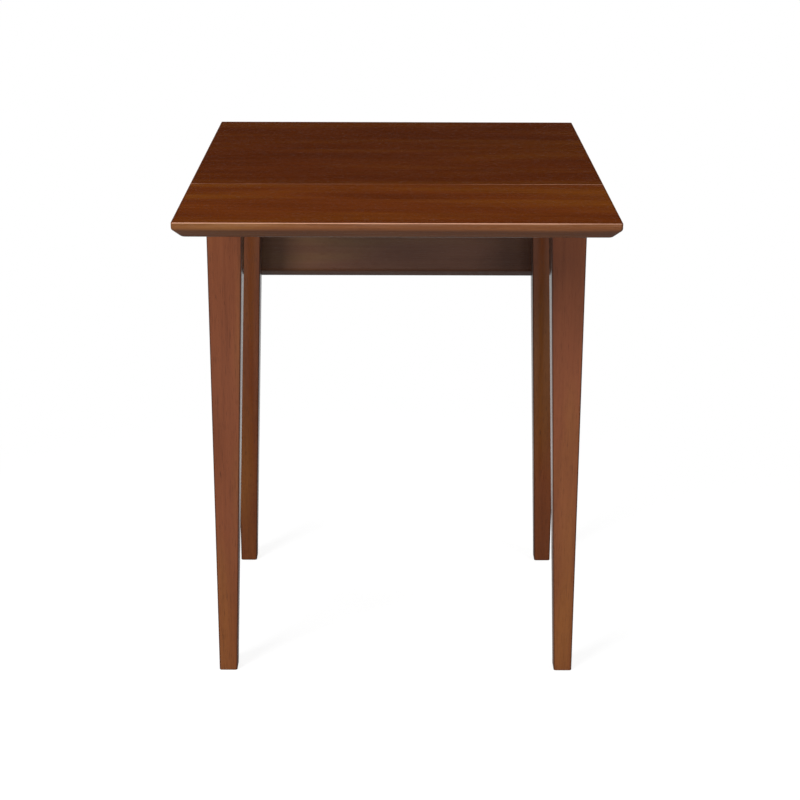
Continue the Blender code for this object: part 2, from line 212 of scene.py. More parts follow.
lit, seen_white = fade(SHADOW_PAINT, 0.0), fade(SHADOW_WHITE, 1.0)
# The glow that gloss sees is painted: a pool of light before the table and a shadow under it.
front, back = FLOOR_GLOSS_LIGHT_AND_SHADOW[0][0], FLOOR_GLOSS_LIGHT_AND_SHADOW[-1][0]
along = share_of(tree, add(tree, "SeparateXYZ", {0: place}).outputs["Y"], front, back)
gloss_light_and_shadow = grey_ramp(tree, along, [((y - front) / (back - front), level) for y, level in FLOOR_GLOSS_LIGHT_AND_SHADOW])
levels = {"Factor": path["Is Camera Ray"], "A": gloss_light_and_shadow, "B": seen_white}
strength = add(tree, "Mix", levels, data_type="FLOAT").outputs[0]
glow = add(tree, "Emission", {"Color": (1, 1, 1, 1), "Strength": strength}).outputs[0]
catch = add(tree, "BsdfDiffuse", {"Color": lit}).outputs[0]
white = add(tree, "AddShader", {0: glow, 1: catch}).outputs[0]
paint = add(tree, "BsdfDiffuse", {"Color": (*grey(FLOOR_PAINT), 1)}).outputs[0]
above = add(tree, "MixShader", {0: seen, 1: paint, 2: white}).outputs[0]
from_below = add(tree, "NewGeometry").outputs["Backfacing"]
clear = add(tree, "BsdfTransparent").outputs[0]
shown = add(tree, "MixShader", {0: from_below, 1: above, 2: clear}).outputs[0]
tree.links.new(shown, out.inputs["Surface"])
floor_paint.cycles.emission_sampling = "NONE"
floor_mesh.materials.append(floor_paint)
print("floor paint", floor_paint.name, "with", len(tree.nodes), "nodes")

# %% [markdown]
# ## The light
#
# The photograph's light is a soft box to the left of the camera, a weaker one to the right, and a low
# pale card in front, so the legs and the front edge are brighter than the top, and the hanging leaf
# behind still shows. Two low boxes behind light the sides that the photograph doesn't show. A sun or
# a spot lamp would draw hard shadows. Area lamps give soft light, and they don't show in reflections.


# %% Lamps
def lamp(name, at, target, width, height, watts):
    """A rectangular area lamp aimed at a point. It lights surfaces and isn't seen itself."""
    data = bpy.data.lights.new(name, "AREA")
    data.shape, data.size, data.size_y, data.energy = "RECTANGLE", width, height, watts
    obj = bpy.data.objects.new(name, data)
    bpy.context.scene.collection.objects.link(obj)
    obj.location = at
    obj.rotation_euler = (Vector(target) - Vector(at)).to_track_quat("-Z", "Y").to_euler()
    obj.visible_camera = obj.visible_glossy = False
    return obj


MIDDLE = (0.0, -0.1, 0.50)  # what the lamps are aimed at
LAMPS = [
    lamp("key_box", (-2.60, -3.15, 2.75), MIDDLE, 1.8, 1.6, 222),
    lamp("right_box", (2.90, -2.75, 2.30), MIDDLE, 1.7, 1.4, 70),
    lamp("front_card", (0.0, -4.20, 0.36), MIDDLE, 2.8, 0.6, 72),
    lamp("back_left_box", (-2.0, 2.2, 1.0), MIDDLE, 1.8, 1.2, 27),
    lamp("back_right_box", (2.0, 2.2, 1.0), MIDDLE, 1.8, 1.2, 27),
]
print("lamps", [f"{box.name} {box.data.energy:.0f} W" for box in LAMPS])

# %% [markdown]
# ## The studio
#
# A glossy surface mirrors the room round it. The top in the photograph has no pale glare, because the
# studio behind it is dark. A picture of a studio could be wrapped round the scene. A ramp over the
# height of each direction is enough here: a dim ceiling, and dark walls down to a pale strip along
# the floor. The camera sees the world white, like the floor.

# %% World
# The height of a direction, one half when level and one straight up, and how bright the studio is there.
STUDIO = [(0.500, 1.0), (0.510, 0.30), (0.530, 0.003), (0.820, 0.004), (0.930, 0.30), (1.000, 0.50)]

world = bpy.data.worlds.new("studio")
bpy.context.scene.world = world
world.use_nodes = True
world.node_tree.nodes.clear()
tree = world.node_tree
up = add(tree, "SeparateXYZ", {0: add(tree, "TexCoord").outputs["Generated"]}).outputs["Z"]
height = math_of(tree, "MULTIPLY_ADD", up, 0.5, 0.5)
shade = add(tree, "Background", {"Color": grey_ramp(tree, height, STUDIO)}).outputs[0]
backdrop = add(tree, "Background", {"Color": (1, 1, 1, 1)}).outputs[0]
to_camera = add(tree, "LightPath").outputs["Is Camera Ray"]
shown = add(tree, "MixShader", {0: to_camera, 1: shade, 2: backdrop}).outputs[0]
tree.links.new(shown, add(tree, "OutputWorld").inputs["Surface"])
print("world", world.name, "with", len(STUDIO), "levels of light")

# %% [markdown]
# ## Wood grain
#
# The table is solid wood in a red-brown walnut stain under a satin lacquer. The boards are glued up
# from narrow staves, each a little lighter or darker than the next. A flat picture of wood would
# show the same figure on a face and on its end, so the grain is worked out in the solid instead:
# each wooden piece carries a grain attribute, its place along, across and through the plank in
# metres. Growth rings are circles about a pith line along the grain, so they draw long lines on a
# face and arcs on an end. Fine streaks and short pores are noise that is drawn out along the grain.

# %% Grain values
STAVE_APART = (9.0, 4.0, 4.0)  # two staves lie up to this far apart in the noise
# Noises that are drawn out along the grain: how fine each is along and across it, and its detail.
STREAKS, CLOUDS, PORES, BENDS = (6.0, 230.0, 3.0), (2.2, 17.0, 2.0), (55.0, 1500.0, 1.0), (1.1, 14.0, 1.0)
NOISE_ROUGH = 0.55
PORE_FROM, PORE_TO = 0.60, 0.72  # a pore opens between these values of its noise
PITH_AT, PITH_STRAYS = (0.0, -0.045, 0.035), (0.0, 0.09, 0.05)  # a stave's edge, seen from its pith
RING_PITCH, RING_BEND, RING_SLANT = 0.0042, 0.010, 0.02
STREAK_SHARE, CLOUD_SHARE, RING_SHARE, STAVE_SHARE = 0.42, 0.58, 0.022, 0.06  # in the whole figure
print("growth rings every", 1000 * RING_PITCH, "mm")


# %% Wood figure
def vector_of(tree, operation, *values):
    """The vector that comes out of a Vector Math node."""
    return add(tree, "VectorMath", dict(enumerate(values)), operation=operation).outputs["Vector"]


def figure_of(tree, stave):
    """The solid figure: streaks and pores that are drawn out along the grain, and growth rings, which
    are a sine of the distance from a pith line. Returns the figure, about one half, and the clouds,
    the streaks and the pores."""
    grain = add(tree, "Attribute", attribute_name="grain").outputs["Vector"]
    split = add(tree, "SeparateXYZ", {0: grain}).outputs
    strip = math_of(tree, "FLOOR", math_of(tree, "DIVIDE", split["Y"], stave))
    dice = add(tree, "TexWhiteNoise", {"W": strip}, noise_dimensions="1D").outputs
    plank = vector_of(tree, "ADD", grain, vector_of(tree, "MULTIPLY", dice["Color"], STAVE_APART))

    def drawn(along, across, detail):
        """Noise that changes at one rate along the grain and at another across it."""
        at = vector_of(tree, "MULTIPLY", plank, (along, across, across))
        noise = {"Vector": at, "Scale": 1.0, "Detail": detail, "Roughness": NOISE_ROUGH}
        return add(tree, "TexNoise", noise).outputs["Fac"]

    streak, cloud, pore, bend = (drawn(*kind) for kind in (STREAKS, CLOUDS, PORES, BENDS))

    # The pith lies some way below the face, elsewhere in each stave, and a slow noise bends the rings.
    pith = vector_of(tree, "ADD", vector_of(tree, "MULTIPLY", dice["Color"], PITH_STRAYS), PITH_AT)
    inside = math_of(tree, "FLOORED_MODULO", split["Y"], stave)
    slant = math_of(tree, "MULTIPLY", split["X"], RING_SLANT)
    local = add(tree, "CombineXYZ", {"X": slant, "Y": inside, "Z": split["Z"]}).outputs[0]
    radius = length_of(tree, vector_of(tree, "ADD", local, pith))
    radius = math_of(tree, "MULTIPLY_ADD", bend, RING_BEND, radius)
    ring = math_of(tree, "SINE", math_of(tree, "MULTIPLY", radius, 2 * math.pi / RING_PITCH))

    figure = math_of(tree, "MULTIPLY", cloud, CLOUD_SHARE)
    figure = math_of(tree, "MULTIPLY_ADD", streak, STREAK_SHARE, figure)
    figure = math_of(tree, "MULTIPLY_ADD", ring, RING_SHARE, figure)
    luck = math_of(tree, "SUBTRACT", dice["Value"], 0.5)
    figure = math_of(tree, "MULTIPLY_ADD", luck, STAVE_SHARE, figure)
    return figure, cloud, streak, share_of(tree, pore, PORE_FROM, PORE_TO)


print("helpers for the figure", vector_of.__name__, figure_of.__name__)

# %% [markdown]
# ## Stain and lacquer
#
# Stain sinks in unevenly, so the figure says how dark it is at each point. A ramp from dark to light
# is enough for a face. Two more attributes follow the making. Edge tells a face from an underside and
# an edge, which take the stain duller and lighter. Wear_highlight_and_dark marks the arrises: where it
# is positive an arris is paler, as wood rubbed by handling and as a painted highlight, and where it is
# negative the arris is darker.

# %% Stain colours
CHANNEL_GAIN = (1.0, 1.2, 1.3)  # green and blue change more with the figure than red
FIGURE_STOPS = 0.20, 0.50, 0.80  # where the figure gives the dark, the mean and the light stain


def blended(tree, share, first, second, kind="MIX"):
    """Two colours mixed by a share, as an output."""
    inputs = {"Factor": share, "A": first, "B": second}
    return add(tree, "Mix", inputs, data_type="RGBA", blend_type=kind).outputs[2]


def times(tone, *factors):
    """A colour with each channel multiplied by its own factor."""
    return tuple(c * k for c, k in zip(tone, factors))


def stained(tree, figure, mean, contrast):
    """The stain's colour, which goes from dark through its mean to light as the figure rises. The
    contrast is the share that the lightest places gain and the darkest lose."""
    dark = times(mean, *(1 - contrast * gain for gain in CHANNEL_GAIN))
    light = times(mean, *(1 + contrast * gain for gain in CHANNEL_GAIN))
    return ramp(tree, figure, *zip(FIGURE_STOPS, (dark, mean, light)))


print("channel gains", CHANNEL_GAIN)

# %% Lacquer
ROUGH_SPREAD = 0.12  # how much streaks, and pores, change the roughness
STREAK_RELIEF = 0.4  # height of a streak, where a pore's depth is one
WOOD_BUMP = 0.35, 0.00012  # strength, and height in metres
LACQUER_IOR = 1.40


def surface(tree, out, colour, rough, relief, bump, **more):
    """Ends a material in a Principled shader, with a bump from a relief."""
    strength, distance = bump
    raised = add(tree, "Bump", {"Strength": strength, "Distance": distance, "Height": relief}).outputs[0]
    inputs = {"Base Color": colour, "Roughness": rough, "Normal": raised, **more}
    tree.links.new(add(tree, "BsdfPrincipled", inputs).outputs[0], out.inputs["Surface"])


print("lacquer index", LACQUER_IOR, "roughness spread", ROUGH_SPREAD)

# %% Wood finish
UNDER_CONTRAST = 0.6  # what an underside shows of a face's contrast
AMBER = (1.04, 1.24, 0.95)  # where the stain runs yellower
AMBER_FROM, AMBER_TO = 0.47, 0.66  # it does so as the clouds go from one to the other
PORE_STAIN, PORE_TONE = 0.55, 0.3  # how much dark stain a pore holds, and what it leaves of a tone
# The pale arris colour: rubbed wood with a painted highlight.
RUBBED_AND_HIGHLIGHT = (0.490, 0.268, 0.178)
RUB_AND_HIGHLIGHT_START, RUB_AND_HIGHLIGHT_SLOPE = 0.6, 3.0  # the rubbed and highlighted paling starts where half the wear_highlight_and_dark and the streak add up to the first
DARK_ARRIS = 0.30  # what a darkened arris leaves of a tone


def lacquered(name, tone, stave, rough, contrast, under=None, edge=None):
    """Stained wood under a satin lacquer. Tone is the mean colour of a face, which the edge attribute
    turns into that of an underside at one half and of an edge at one. Stave is the width of a glued
    strip in metres. The wear_highlight_and_dark attribute makes an arris pale, as rubbed wood with a
    painted highlight, or darker where it is negative."""
    material, tree, out = new_tree(name)
    figure, cloud, streak, pits = figure_of(tree, stave)
    colour = stained(tree, figure, tone, contrast)
    if edge:
        # Up to one the share turns a face into an underside, and from one to two that into an edge.
        share = math_of(tree, "MULTIPLY", add(tree, "Attribute", attribute_name="edge").outputs["Fac"], 2.0)
        colour = blended(tree, share, colour, stained(tree, figure, under, UNDER_CONTRAST * contrast))
        share = math_of(tree, "SUBTRACT", share, 1.0)
        colour = blended(tree, share, colour, stained(tree, figure, edge, contrast))
    colour = blended(tree, share_of(tree, cloud, AMBER_FROM, AMBER_TO), colour, (*AMBER, 1), "MULTIPLY")
    in_pores, in_dark_arris = ((*times(tone, *grey(left)), 1) for left in (PORE_TONE, DARK_ARRIS))
    colour = blended(tree, math_of(tree, "MULTIPLY", pits, PORE_STAIN), colour, in_pores)
    # A positive wear_highlight_and_dark pales an arris towards rubbed wood with a painted highlight, and a
    # negative one darkens it.
    wear_highlight_and_dark = add(tree, "Attribute", attribute_name="wear_highlight_and_dark").outputs["Fac"]
    rubbed_and_highlighted = math_of(tree, "MULTIPLY_ADD", wear_highlight_and_dark, 0.5, math_of(tree, "SUBTRACT", streak, RUB_AND_HIGHLIGHT_START))
    rub_and_highlight_share = add(tree, "Math", {0: rubbed_and_highlighted, 1: RUB_AND_HIGHLIGHT_SLOPE}, operation="MULTIPLY", use_clamp=True).outputs[0]
    colour = blended(tree, math_of(tree, "MULTIPLY", wear_highlight_and_dark, rub_and_highlight_share), colour, (*RUBBED_AND_HIGHLIGHT, 1))
    colour = blended(tree, math_of(tree, "MULTIPLY", wear_highlight_and_dark, -1.0), colour, in_dark_arris)
    rough = math_of(tree, "MULTIPLY_ADD", streak, ROUGH_SPREAD, rough - ROUGH_SPREAD / 2)
    rough = math_of(tree, "MULTIPLY_ADD", pits, ROUGH_SPREAD, rough)
    relief = math_of(tree, "SUBTRACT", math_of(tree, "MULTIPLY", streak, STREAK_RELIEF), pits)
    surface(tree, out, colour, rough, relief, WOOD_BUMP, IOR=LACQUER_IOR)
    return material


print("rubbed and highlighted arris", RUBBED_AND_HIGHLIGHT, "dark arris", DARK_ARRIS)

# %% [markdown]
# ## The woods of this table
#
# The pieces don't have quite the same colour. The raised leaf is lighter than the fixed top, partly as
# a lighter board and partly as painted light, as the light is brighter towards the front. The back legs
# are darker than the front ones, and the edge of the hanging leaf is darker than the raised one's, both
# as painted shade under the table, and the frame underneath is duller. One material could serve
# them all. A material for each kind is easier to match with the photograph.

# %% Woods
TOP_STAVE, LEG_STAVE, RAIL_STAVE = 0.076, 0.060, 0.050
# The leaf tone is lighter than the fixed top's, partly as a lighter board and partly as painted light that
# grows towards the front.
LEAF_TONE_AND_LIGHT, UNDERSIDE, EDGE = (0.177, 0.0368, 0.0048), (0.090, 0.0365, 0.0200), (0.129, 0.0430, 0.0122)
# Painted shade: the hanging leaf's edge is made darker for the table's shadow that falls on it.
PAINTED_SHADE_EDGE = times(EDGE, 0.55, 0.50, 0.45)  # of the hanging leaf
# Each wood's tone, stave, roughness and contrast, and the tones of its underside and its edges.
RECIPES = {
    "main_top": ((0.139, 0.0275, 0.0036), TOP_STAVE, 0.24, 0.42, UNDERSIDE, EDGE),
    "leaf": (LEAF_TONE_AND_LIGHT, TOP_STAVE, 0.24, 0.50, UNDERSIDE, EDGE),
    # The back leaf differs from the front one only by its edge, which is painted shade.
    "back_leaf": (LEAF_TONE_AND_LIGHT, TOP_STAVE, 0.24, 0.50, UNDERSIDE, PAINTED_SHADE_EDGE),
    "front_leg": ((0.140, 0.0385, 0.0135), LEG_STAVE, 0.14, 0.32),
    # Painted shade: the back legs, deeper under the table, get a darker tone than the front ones.
    "back_leg_painted_shade": ((0.112, 0.0295, 0.0085), LEG_STAVE, 0.14, 0.32),
    "frame": ((0.120, 0.0310, 0.0080), RAIL_STAVE, 0.36, 0.45),
}

WOODS = {kind: lacquered("walnut_" + kind, *recipe) for kind, recipe in RECIPES.items()}
print("wood finishes", [wood.name for wood in WOODS.values()])

# %% [markdown]
# ## Surfaces from rings
#
# A board, a leg and a rail are all a stack of closed outlines, each a little wider or narrower than
# the one below. A cube with a Bevel modifier would come close, but it can't give a different edge to
# each side. So every outline is worked out at once, as one array of rings by points, and neighbours
# are joined by quads.

# %% Ring helpers
CORNER_STEPS = 6  # points on each rounded corner of an outline


def outline(x0, x1, y0, y1, radius):
    """Rounded rectangles, anticlockwise from the right back corner. Each corner is its centre plus the
    radius times the unit circle over that corner's quarter turn. The sides may be arrays, one value for
    each ring, and the radius is one value or four."""
    x0, x1, y0, y1 = (np.atleast_1d(v)[:, None, None] for v in (x0, x1, y0, y1))
    radius = np.broadcast_to(radius, 4)[:, None]
    turn = np.arange(4)[:, None] * np.pi / 2 + np.linspace(0, np.pi / 2, CORNER_STEPS)
    right, back = np.array([[1, 0, 0, 1], [1, 1, 0, 0]], bool)[:, :, None]
    x = np.where(right, x1 - radius, x0 + radius) + radius * np.cos(turn)
    y = np.where(back, y1 - radius, y0 + radius) + radius * np.sin(turn)
    return np.stack([x, y], -1).reshape(len(x), -1, 2)


def stack(plan, heights):
    """Rings in space: each outline lifted to its height."""
    z = np.broadcast_to(np.asarray(heights)[:, None, None], plan.shape[:2] + (1,))
    return np.concatenate([plan, z], -1)


def skin(rings):
    """Faces of a stack of rings: quads between neighbours, and one flat face at each end."""
    count, around = rings.shape[:2]
    k, m = np.meshgrid(np.arange(count - 1), np.arange(around), indexing="ij")
    this, after = k * around + m, k * around + (m + 1) % around
    quads = np.stack([this, after, after + around, this + around], -1)
    last = (count - 1) * around + np.arange(around)
    return quads.reshape(-1, 4).tolist() + [np.arange(around)[::-1].tolist(), last.tolist()]


print("points on an outline", outline(0, 1, 0, 1, 0.1).shape[1])


# %% Rounded arrises
def round_inset(height, width, rise):
    """Inset of an elliptical quarter-round: its width times one, less the square root of one minus
    the square of the share of the rise that is still to come."""
    left = np.clip(1 - height / rise, 0, 1)
    return width * (1 - np.sqrt(1 - left**2))


def round_heights(rise, steps):
    """Heights up a quarter-round at equal angles: the rise times one minus the cosine."""
    return rise * (1 - np.cos(np.linspace(0, np.pi / 2, steps)))


print("inset half way up a round of one", round(round_inset(0.5, 1, 1), 3))

# %% [markdown]
# ## From rings to a piece
#
# Smooth shading bends the light across a rounded edge, and it would spread into the wide face beside
# it. A modifier with weighted normals could hold it back. Here one extra ring lies just inside each
# end, so the wide face beyond it stays flat. Every mesh then goes the same way: it gets a finish and
# its attributes, rides on a body of the CAD model, and hides the CAD nodes that it stands for.

# %% Mesh helpers
FLAT = 0.002  # how far inside an end its extra ring lies
CREASE = 40  # an edge that turns by more degrees than this stays sharp


def with_ends(values, first, last):
    """One value for each ring, and one more for the extra ring at each end."""
    return np.concatenate([[first], values, [last]])


def put(name, points, faces, body, finish, replaced, attributes=None, sharp=CREASE):
    """A mesh object at the origin, with smooth shading, that rides on a body and stands for CAD nodes."""
    mesh = bpy.data.meshes.new(name)
    mesh.from_pydata(points, [], faces)
    mesh.materials.append(finish)
    for key, values in (attributes or {}).items():
        vector = values.ndim == 2
        layer = mesh.attributes.new(key, "FLOAT_VECTOR" if vector else "FLOAT", "POINT")
        layer.data.foreach_set("vector" if vector else "value", values.astype(np.float32).ravel())
    mesh.shade_smooth()
    mesh.set_sharp_from_angle(angle=math.radians(sharp))
    obj = bpy.data.objects.new(name, mesh)
    bpy.context.scene.collection.objects.link(obj)
    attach(obj, body)
    if replaced:
        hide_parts(*replaced)
    return obj


def corners(node):
    """Lowest and highest corner of a CAD node, as arrays."""
    return (np.array(corner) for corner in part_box(node))


print("extra rings", 1000 * FLAT, "mm inside each end")

# %% [markdown]
# ## The edge of a top
#
# The fixed top and both leaves are boards 21 mm thick. Each outer edge has a narrow upright face that
# rolls over a round nose into a flat bevel underneath, so the table looks thinner than it is. A curve
# swept along the edge would leave the corners to be patched. Here the edge is a formula, which says
# how far the board is set in at each height, and a ring is laid wherever the edge turns.

# %% Edge profile
main_low, main_high = corners("main_top")
TOP_T = main_high[2] - main_low[2]
EDGE_FACE = 0.0065  # height of the upright face
NOSE_R = 0.0060
BEVEL_SLOPE = math.radians(45)
HEEL_R = 0.0060  # the bevel runs out into the underside over this radius
ARRIS = 0.0012  # rounding of an outer arris
NOSE_STEPS, HEEL_STEPS, BEVEL_STEPS, LOW_STEPS, HIGH_STEPS = 9, 6, 4, 6, 7  # the last two are for arrises


def bevel_inset(height):
    """Inset of a bevelled edge. On the nose, a circle, it is the radius less the square root of the
    radius squared minus the drop squared. Below the nose it grows evenly, by the slope's cotangent,
    and on the heel, a circle that touches the underside, it grows faster again."""
    drop = np.clip(TOP_T - EDGE_FACE - height, 0, None)
    roll = NOSE_R * math.cos(BEVEL_SLOPE)
    nose = NOSE_R - np.sqrt(NOSE_R**2 - np.minimum(drop, roll) ** 2)
    bevel = np.clip(drop - roll, 0, None) / math.tan(BEVEL_SLOPE)
    start = HEEL_R * (1 - math.cos(BEVEL_SLOPE))
    low = np.clip(height, 0, start)
    heel = HEEL_R * math.sin(BEVEL_SLOPE) - np.sqrt(HEEL_R**2 - (HEEL_R - low) ** 2)
    return nose + bevel + heel - (start - low) / math.tan(BEVEL_SLOPE)


def edge_heights():
    """Heights of a board's rings: close together round the nose, the heel and the two arrises."""
    nose = TOP_T - EDGE_FACE - np.sin(np.linspace(0, math.pi / 2 - BEVEL_SLOPE, NOSE_STEPS)) * NOSE_R
    heel = HEEL_R * (1 - np.cos(np.linspace(0, BEVEL_SLOPE, HEEL_STEPS)))
    bevel = np.linspace(heel[-1], nose[-1], BEVEL_STEPS)
    arrises = [round_heights(ARRIS, LOW_STEPS), TOP_T - round_heights(ARRIS, HIGH_STEPS)]
    return np.unique(np.round(np.concatenate([heel, bevel, nose, *arrises]), 7))


print("rings up an edge", len(edge_heights()), "set in by", np.round(1000 * bevel_inset(0.0), 1), "mm below")

# %% [markdown]
# ## The boards
#
# The edges that meet at a hinge are only eased, which leaves a fine line between the boards. Each
# board could be cut from one block. Rings of the whole board, from its underside up, turn every corner
# by themselves. An outer arris is paler, as rubbed wood with a painted highlight, a hinge joint is
# paler most at its ends, as a painted highlight with rubbing, and the side arrises are darker, so each
# point also gets its wear_highlight_and_dark, and its share of the edge's stain.

# %% Board rings
JOINT_ARRIS = 0.0005  # rounding of an arris at a hinge joint
OUTER_CORNER, JOINT_CORNER = 0.0042, 0.0016  # radius of a corner in plan
SIDE_STOPS = 15  # points along a joint, between its corners


def with_stops(plan, after):
    """Outlines with more points on the side that follows a given point, spaced evenly along it."""
    share = np.linspace(0, 1, SIDE_STOPS + 2)[1:-1, None]
    between = plan[:, [after]] * (1 - share) + plan[:, [after + 1]] * share
    return np.concatenate([plan[:, : after + 1], between, plan[:, after + 1 :]], 1)


def board_rings(half_width, near, far, far_bevelled):
    """Rings of a board from y = far to y = near, with its underside at zero. Both sides are set in by the
    bevel plus a rounded arris, and so is the far end where asked. A joint has only its two arrises."""
    heights = edge_heights()
    side = bevel_inset(heights) + round_inset(TOP_T - heights, ARRIS, ARRIS)
    joint = sum(round_inset(h, JOINT_ARRIS, JOINT_ARRIS) for h in (heights, TOP_T - heights))
    end = side if far_bevelled else joint
    side, joint, end = (with_ends(v, v[0] + FLAT, v[-1] + FLAT) for v in (side, joint, end))
    outer = OUTER_CORNER if far_bevelled else JOINT_CORNER
    radii = [JOINT_CORNER, JOINT_CORNER, outer, outer]
    plan = outline(side - half_width, half_width - side, far + end, near - joint, radii)
    # The far end runs from the third corner to the fourth, and the near end from the first to the second.
    plan = with_stops(with_stops(plan, 3 * CORNER_STEPS - 1), CORNER_STEPS - 1)
    return stack(plan, with_ends(heights, 0.0, TOP_T))


print("points round a board", 4 * CORNER_STEPS + 2 * SIDE_STOPS)

# %% Wear and edge of a board
WEAR_HIGHLIGHT_DARK_AT, WEAR_HIGHLIGHT_DARK_REACH = 0.3 * ARRIS, 0.0007  # how far below a face the wear_highlight_and_dark is greatest, and how far it reaches
# Wear and painted highlight at the ends of a hinge joint, and where it is least, in half widths from the
# middle.
JOINT_WEAR_AND_HIGHLIGHT, JOINT_DULL = 0.77, -0.04
SIDE_DARKENING = 0.60  # how much darker the side arrises are
ON_FACE, ON_UNDERSIDE, ON_EDGE = 0.0, 0.5, 1.0  # values of the edge attribute
ON_BEVEL, ON_JOINT = 0.80, 0.25  # on a bevel, and at most at a hinge joint


def board_marks(rings, half_width, near, far, far_bevelled):
    """Wear, painted highlight and edge at each point. Down from a face the wear_highlight_and_dark is a
    bell curve of the drop. At a joint it is multiplied by the square root of the distance from the dull
    place, and at a side it turns negative, which darkens the arris. The edge goes from face to edge over
    the arris, and on to the bevel over the nose."""
    drop = TOP_T - edge_heights()
    wear_highlight_and_dark = with_ends(np.exp(-(((drop - WEAR_HIGHLIGHT_DARK_AT) / WEAR_HIGHLIGHT_DARK_REACH) ** 2)), 0.0, 0.0)[:, None]
    at_near, at_far = rings[..., 1] > near - FLAT, rings[..., 1] < far + FLAT
    joint_wear_and_highlight = JOINT_WEAR_AND_HIGHLIGHT * np.sqrt(np.abs(rings[..., 0] / half_width - JOINT_DULL))
    wear_highlight_and_dark = wear_highlight_and_dark * np.select([at_near, at_far], [joint_wear_and_highlight, 1.0 if far_bevelled else joint_wear_and_highlight], -SIDE_DARKENING)
    drops, values = [0.0, ARRIS, EDGE_FACE, EDGE_FACE + NOSE_R], [ON_FACE, ON_EDGE, ON_EDGE, ON_BEVEL]
    edge = with_ends(np.interp(drop, drops, values), ON_UNDERSIDE, ON_FACE)[:, None]
    plain = at_near | at_far & (not far_bevelled)
    edge = np.where(plain, np.minimum(edge, ON_JOINT), edge)
    return {"wear_highlight_and_dark": wear_highlight_and_dark.ravel(), "edge": edge.ravel()}


print("wear reaches", 1000 * WEAR_HIGHLIGHT_DARK_REACH, "mm about an arris")

# %% [markdown]
# ## The fixed top and the leaves
#
# With both leaves up the three boards lie side by side, and their grain runs along the hinge lines.
# The back leaf could be modelled as it hangs. It is made flat like the others, where its grain is easy
# to note, and then turned, so both leaves have the same edge.

# %% Boards
BOARD_APART = np.array([1.0, 0.37, 0.0])  # a seed moves a board's grain by this, along and across it
AS_IT_LIES = np.eye(3)
HANGING = [[-1, 0, 0], [0, 0, 1], [0, 1, 0]]  # outer edge down, underside towards the legs


def put_board(name, node, body, finish, near, far, far_bevelled, turn, shift, seed):
    """Makes a board flat, notes its grain there, and then turns and moves it to its place."""
    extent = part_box(node)[1][0], near, far, far_bevelled
    rings = board_rings(*extent)
    flat = rings.reshape(-1, 3)
    marks = {"grain": flat + seed * BOARD_APART, **board_marks(rings, *extent)}
    points = flat @ np.array(turn, float).T + shift
    return put(name, points, skin(rings), body, finish, [node], marks)


leaf_low, leaf_high = corners("front_leaf")
hang_low, hang_high = corners("back_leaf")
LEAF = dict(near=0.0, far=leaf_low[1] - leaf_high[1], far_bevelled=True)
BOARDS = [
    put_board(
        "fixed_top_board", "main_top", "table_frame", WOODS["main_top"], near=main_high[1], far=main_low[1],
        far_bevelled=False, turn=AS_IT_LIES, shift=[0, 0, main_low[2]], seed=26.19,
    ),
    put_board(
        "front_leaf_board", "front_leaf", "front_leaf", WOODS["leaf"], **LEAF,
        turn=AS_IT_LIES, shift=[0, leaf_high[1], leaf_low[2]], seed=39.49,
    ),
    put_board(
        "back_leaf_board", "back_leaf", "back_leaf", WOODS["back_leaf"], **LEAF,
        turn=HANGING, shift=[0, hang_low[1], hang_high[2]], seed=35.76,
    ),
]
print("boards", [(board.name, len(board.data.polygons)) for board in BOARDS])

# %% [markdown]
# ## The legs
#
# Each leg is square at the top and tapers on its two inner faces to a slim foot, so the table
# stands straight from outside and light from inside. The arrises are rounded by about 2 mm. A cube
# could be scaled at one end, but then its rounded arrises would shrink with it. A leg is made here as
# rings with its outer corner at the origin, and turned by quarters to each corner of the table.

# %% Leg rings
LEG_TOP, LEG_FOOT = 0.0487, 0.0265  # width at the top and at the foot
TAPER_TOP = 0.6589  # above this height a leg is square
LEG_ARRIS, FOOT_ARRIS = 0.0024, 0.0018
FOOT_STEPS, TAPER_STEPS, TAPER_FROM = 6, 12, 0.01  # rings on the foot's arris and the taper, and its start


def leg_rings(top):
    """Rings up a leg. The width grows in a straight line from the foot to the taper's top, and the
    foot's edge is a small quarter-round."""
    foot, taper = round_heights(FOOT_ARRIS, FOOT_STEPS), np.linspace(TAPER_FROM, TAPER_TOP, TAPER_STEPS)
    heights = np.concatenate([foot, taper, [top]])
    ease = round_inset(heights, FOOT_ARRIS, FOOT_ARRIS)
    wide = LEG_FOOT + (LEG_TOP - LEG_FOOT) * np.clip(heights / TAPER_TOP, 0, 1)
    near, far = (with_ends(v, v[0] + d, v[-1] + d) for v, d in ((ease, FLAT), (wide - ease, -FLAT)))
    return stack(outline(near, far, near, far, LEG_ARRIS), with_ends(heights, 0.0, top))


print("rings up a leg", len(leg_rings(main_low[2])))

# %% Legs
LEG_DARKENING = 0.90  # how much darker an arris is
# The corners in order, a quarter turn apart, and the stave that each leg is cut from.
LEG_SEEDS = {"front_left": 16, "front_right": 25, "back_right": 142, "back_left": 79}
LEG_APART = np.array([2.3, LEG_STAVE, 0.0])  # a seed moves a leg's grain by this, along and across it
QUARTER = np.array([[0, -1, 0], [1, 0, 0], [0, 0, 1]])


def inward_of(corner):
    """Signs of X and Y that point from an outer corner of the frame to its middle."""
    return np.array([1 if "left" in corner else -1, 1 if "front" in corner else -1])


def outer_of(corner):
    """The outer corner of a leg, on the floor."""
    low, high = corners("leg_" + corner)
    return np.where(inward_of(corner) > 0, low[:2], high[:2])


